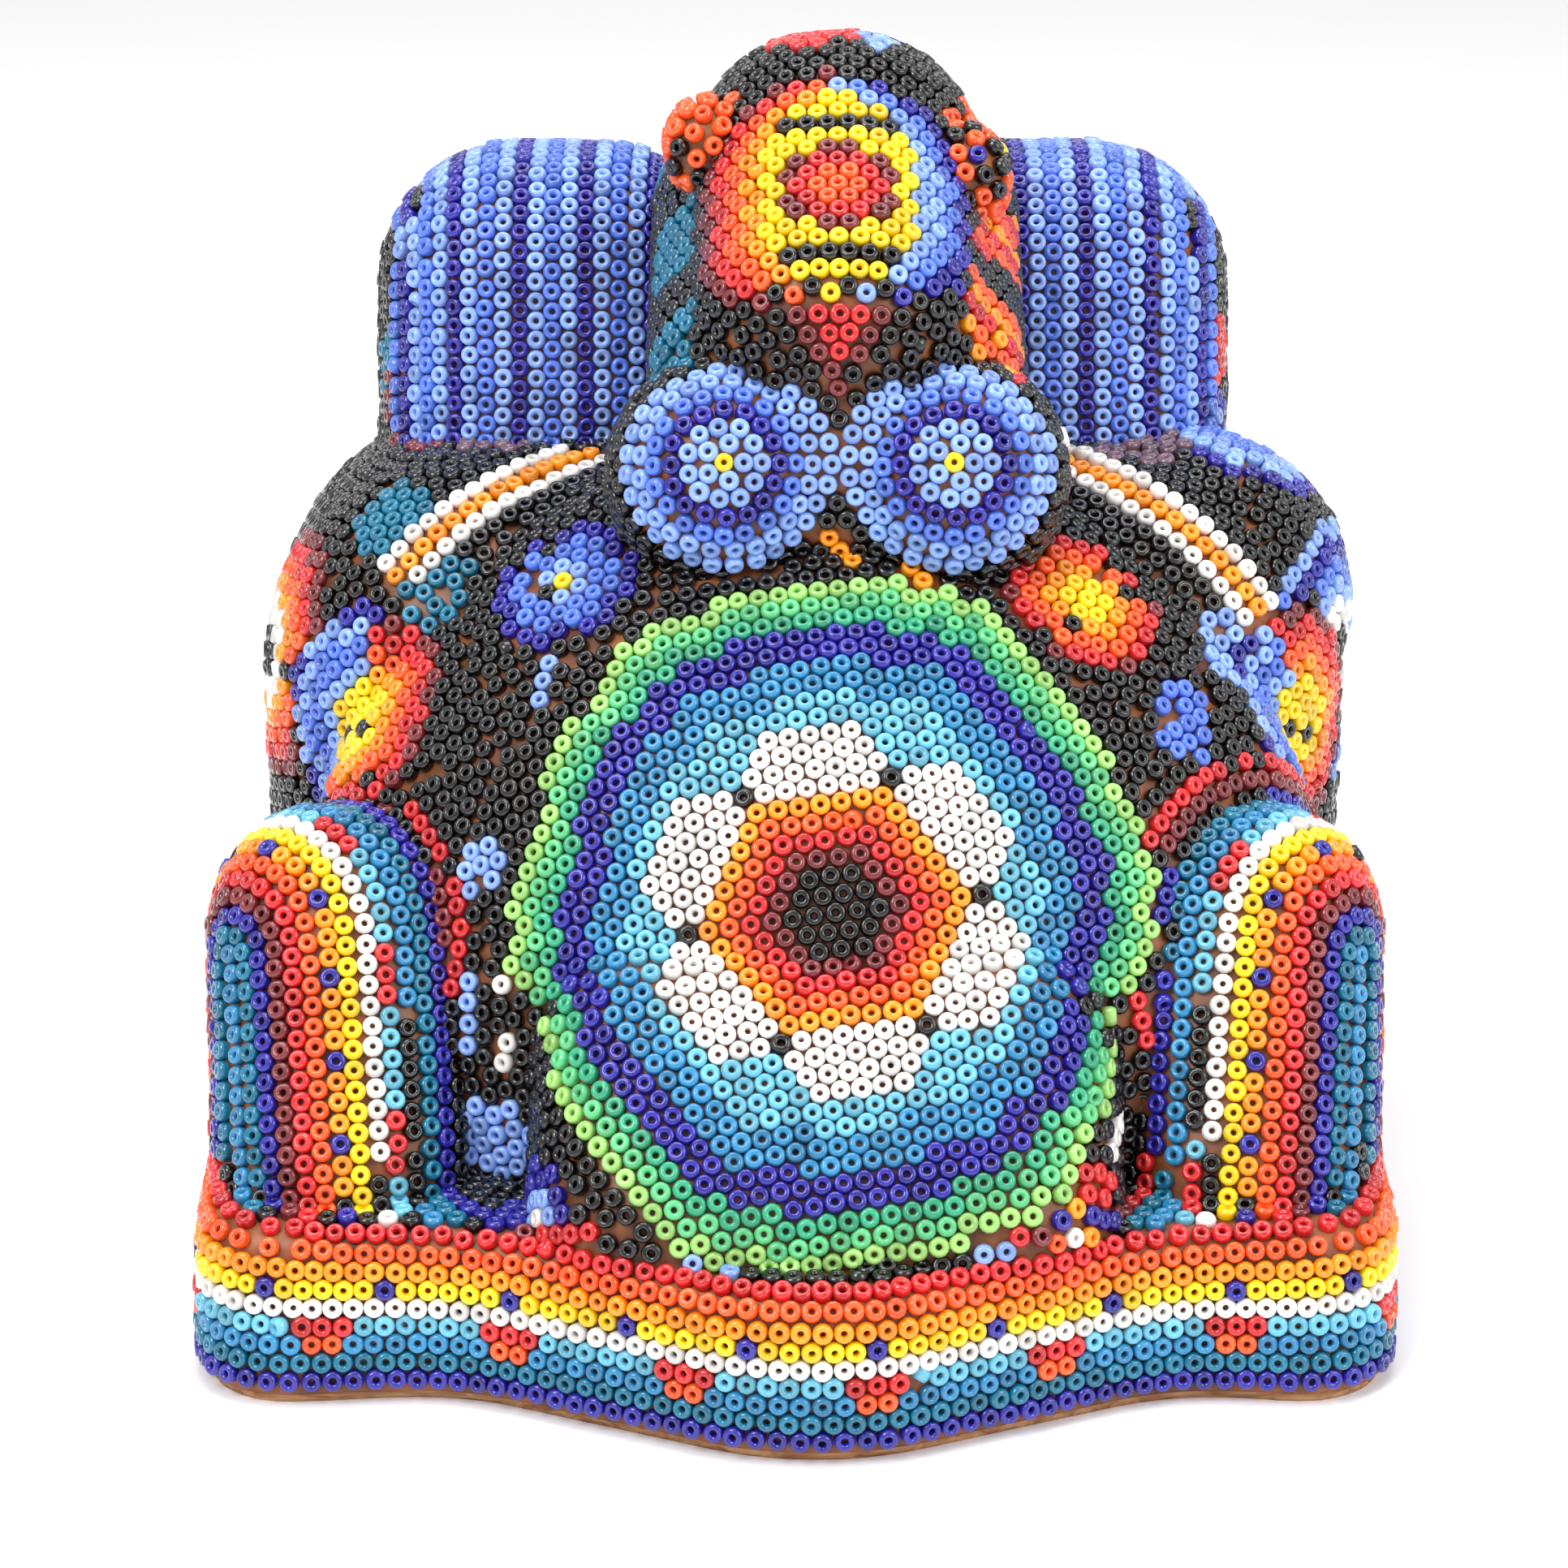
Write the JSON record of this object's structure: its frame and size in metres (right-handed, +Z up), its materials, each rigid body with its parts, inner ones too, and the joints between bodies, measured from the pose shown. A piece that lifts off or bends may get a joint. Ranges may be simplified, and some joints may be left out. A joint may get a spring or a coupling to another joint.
{
  "type": "huichol beaded figure",
  "caption": "Squat crouching animal figure of carved wood covered all over with glued glass seed beads: chest mandala, muzzle rosettes, arched forelegs, striped haunches.",
  "frame": {"origin": "on the ground plane under the centre of the figure's bounding box", "axes": "+Z up, the figure faces -Y, +X to the right of a person facing it"},
  "size_m": [0.1258, 0.1321, 0.1247],
  "materials": {
    "beads_amber": "opaque glossy glass",
    "beads_black": "opaque glossy glass",
    "beads_blue": "opaque glossy glass",
    "beads_cyan": "opaque glossy glass",
    "beads_leaf_green": "opaque glossy glass",
    "beads_lime": "opaque glossy glass",
    "beads_maroon": "opaque glossy glass",
    "beads_navy": "opaque glossy glass",
    "beads_orange": "opaque glossy glass",
    "beads_red": "opaque glossy glass",
    "beads_sea_blue": "opaque glossy glass",
    "beads_sea_green": "opaque glossy glass",
    "beads_sky": "opaque glossy glass",
    "beads_teal": "opaque glossy glass",
    "beads_white": "opaque glossy glass",
    "beads_yellow": "opaque glossy glass",
    "beeswax": "soft satin wax",
    "carved_wood": "raw, sanded"
  },
  "bodies": {
    "root": {"base_row_amber": "beads_amber", "base_row_cyan": "beads_cyan", "base_row_navy": "beads_navy", "base_row_orange": "beads_orange", "base_row_red": "beads_red", "base_row_sea_blue": "beads_sea_blue", "base_row_teal": "beads_teal", "base_row_white": "beads_white", "base_row_yellow": "beads_yellow", "black_ground": "beads_black", "bridge_navy": "beads_navy", "bridge_orange": "beads_orange", "bridge_red": "beads_red", "bridge_sky": "beads_sky", "bridge_sun": "beads_orange", "bridge_yellow": "beads_yellow", "chest_side_suns": "beads_orange", "collar_white": "beads_white", "ears_orange": "beads_orange", "flank_eyes_orange": "beads_orange", "flank_eyes_red": "beads_red", "flank_eyes_white": "beads_white", "flower_blue": "beads_blue", "flower_centre_bead": "beads_yellow", "flower_navy": "beads_navy", "foreleg_cyan": "beads_cyan", "foreleg_inner": "beads_maroon", "foreleg_maroon": "beads_maroon", "foreleg_navy": "beads_navy", "foreleg_red": "beads_red", "foreleg_teal": "beads_teal", "foreleg_white": "beads_white", "foreleg_yellow": "beads_yellow", "haunch_blue_columns": "beads_sky", "haunch_navy_columns": "beads_navy", "mandala_amber": "beads_amber", "mandala_black": "beads_black", "mandala_corner_beads": "beads_black", "mandala_leaf_green": "beads_leaf_green", "mandala_lime": "beads_lime", "mandala_maroon": "beads_maroon", "mandala_navy": "beads_navy", "mandala_orange": "beads_orange", "mandala_red": "beads_red", "mandala_sea_green": "beads_sea_green", "mandala_sky": "beads_sky", "mandala_teal": "beads_teal", "mandala_white_petals": "beads_white", "nose_triangle": "beads_red", "rosette_blue": "beads_blue", "rosette_centre_beads": "beads_yellow", "rosette_navy": "beads_navy", "rosette_sky": "beads_sky", "sun_amber": "beads_amber", "sun_red": "beads_red", "wax_coat": "beeswax", "wood_core": "carved_wood"}
  },
  "joints": []
}
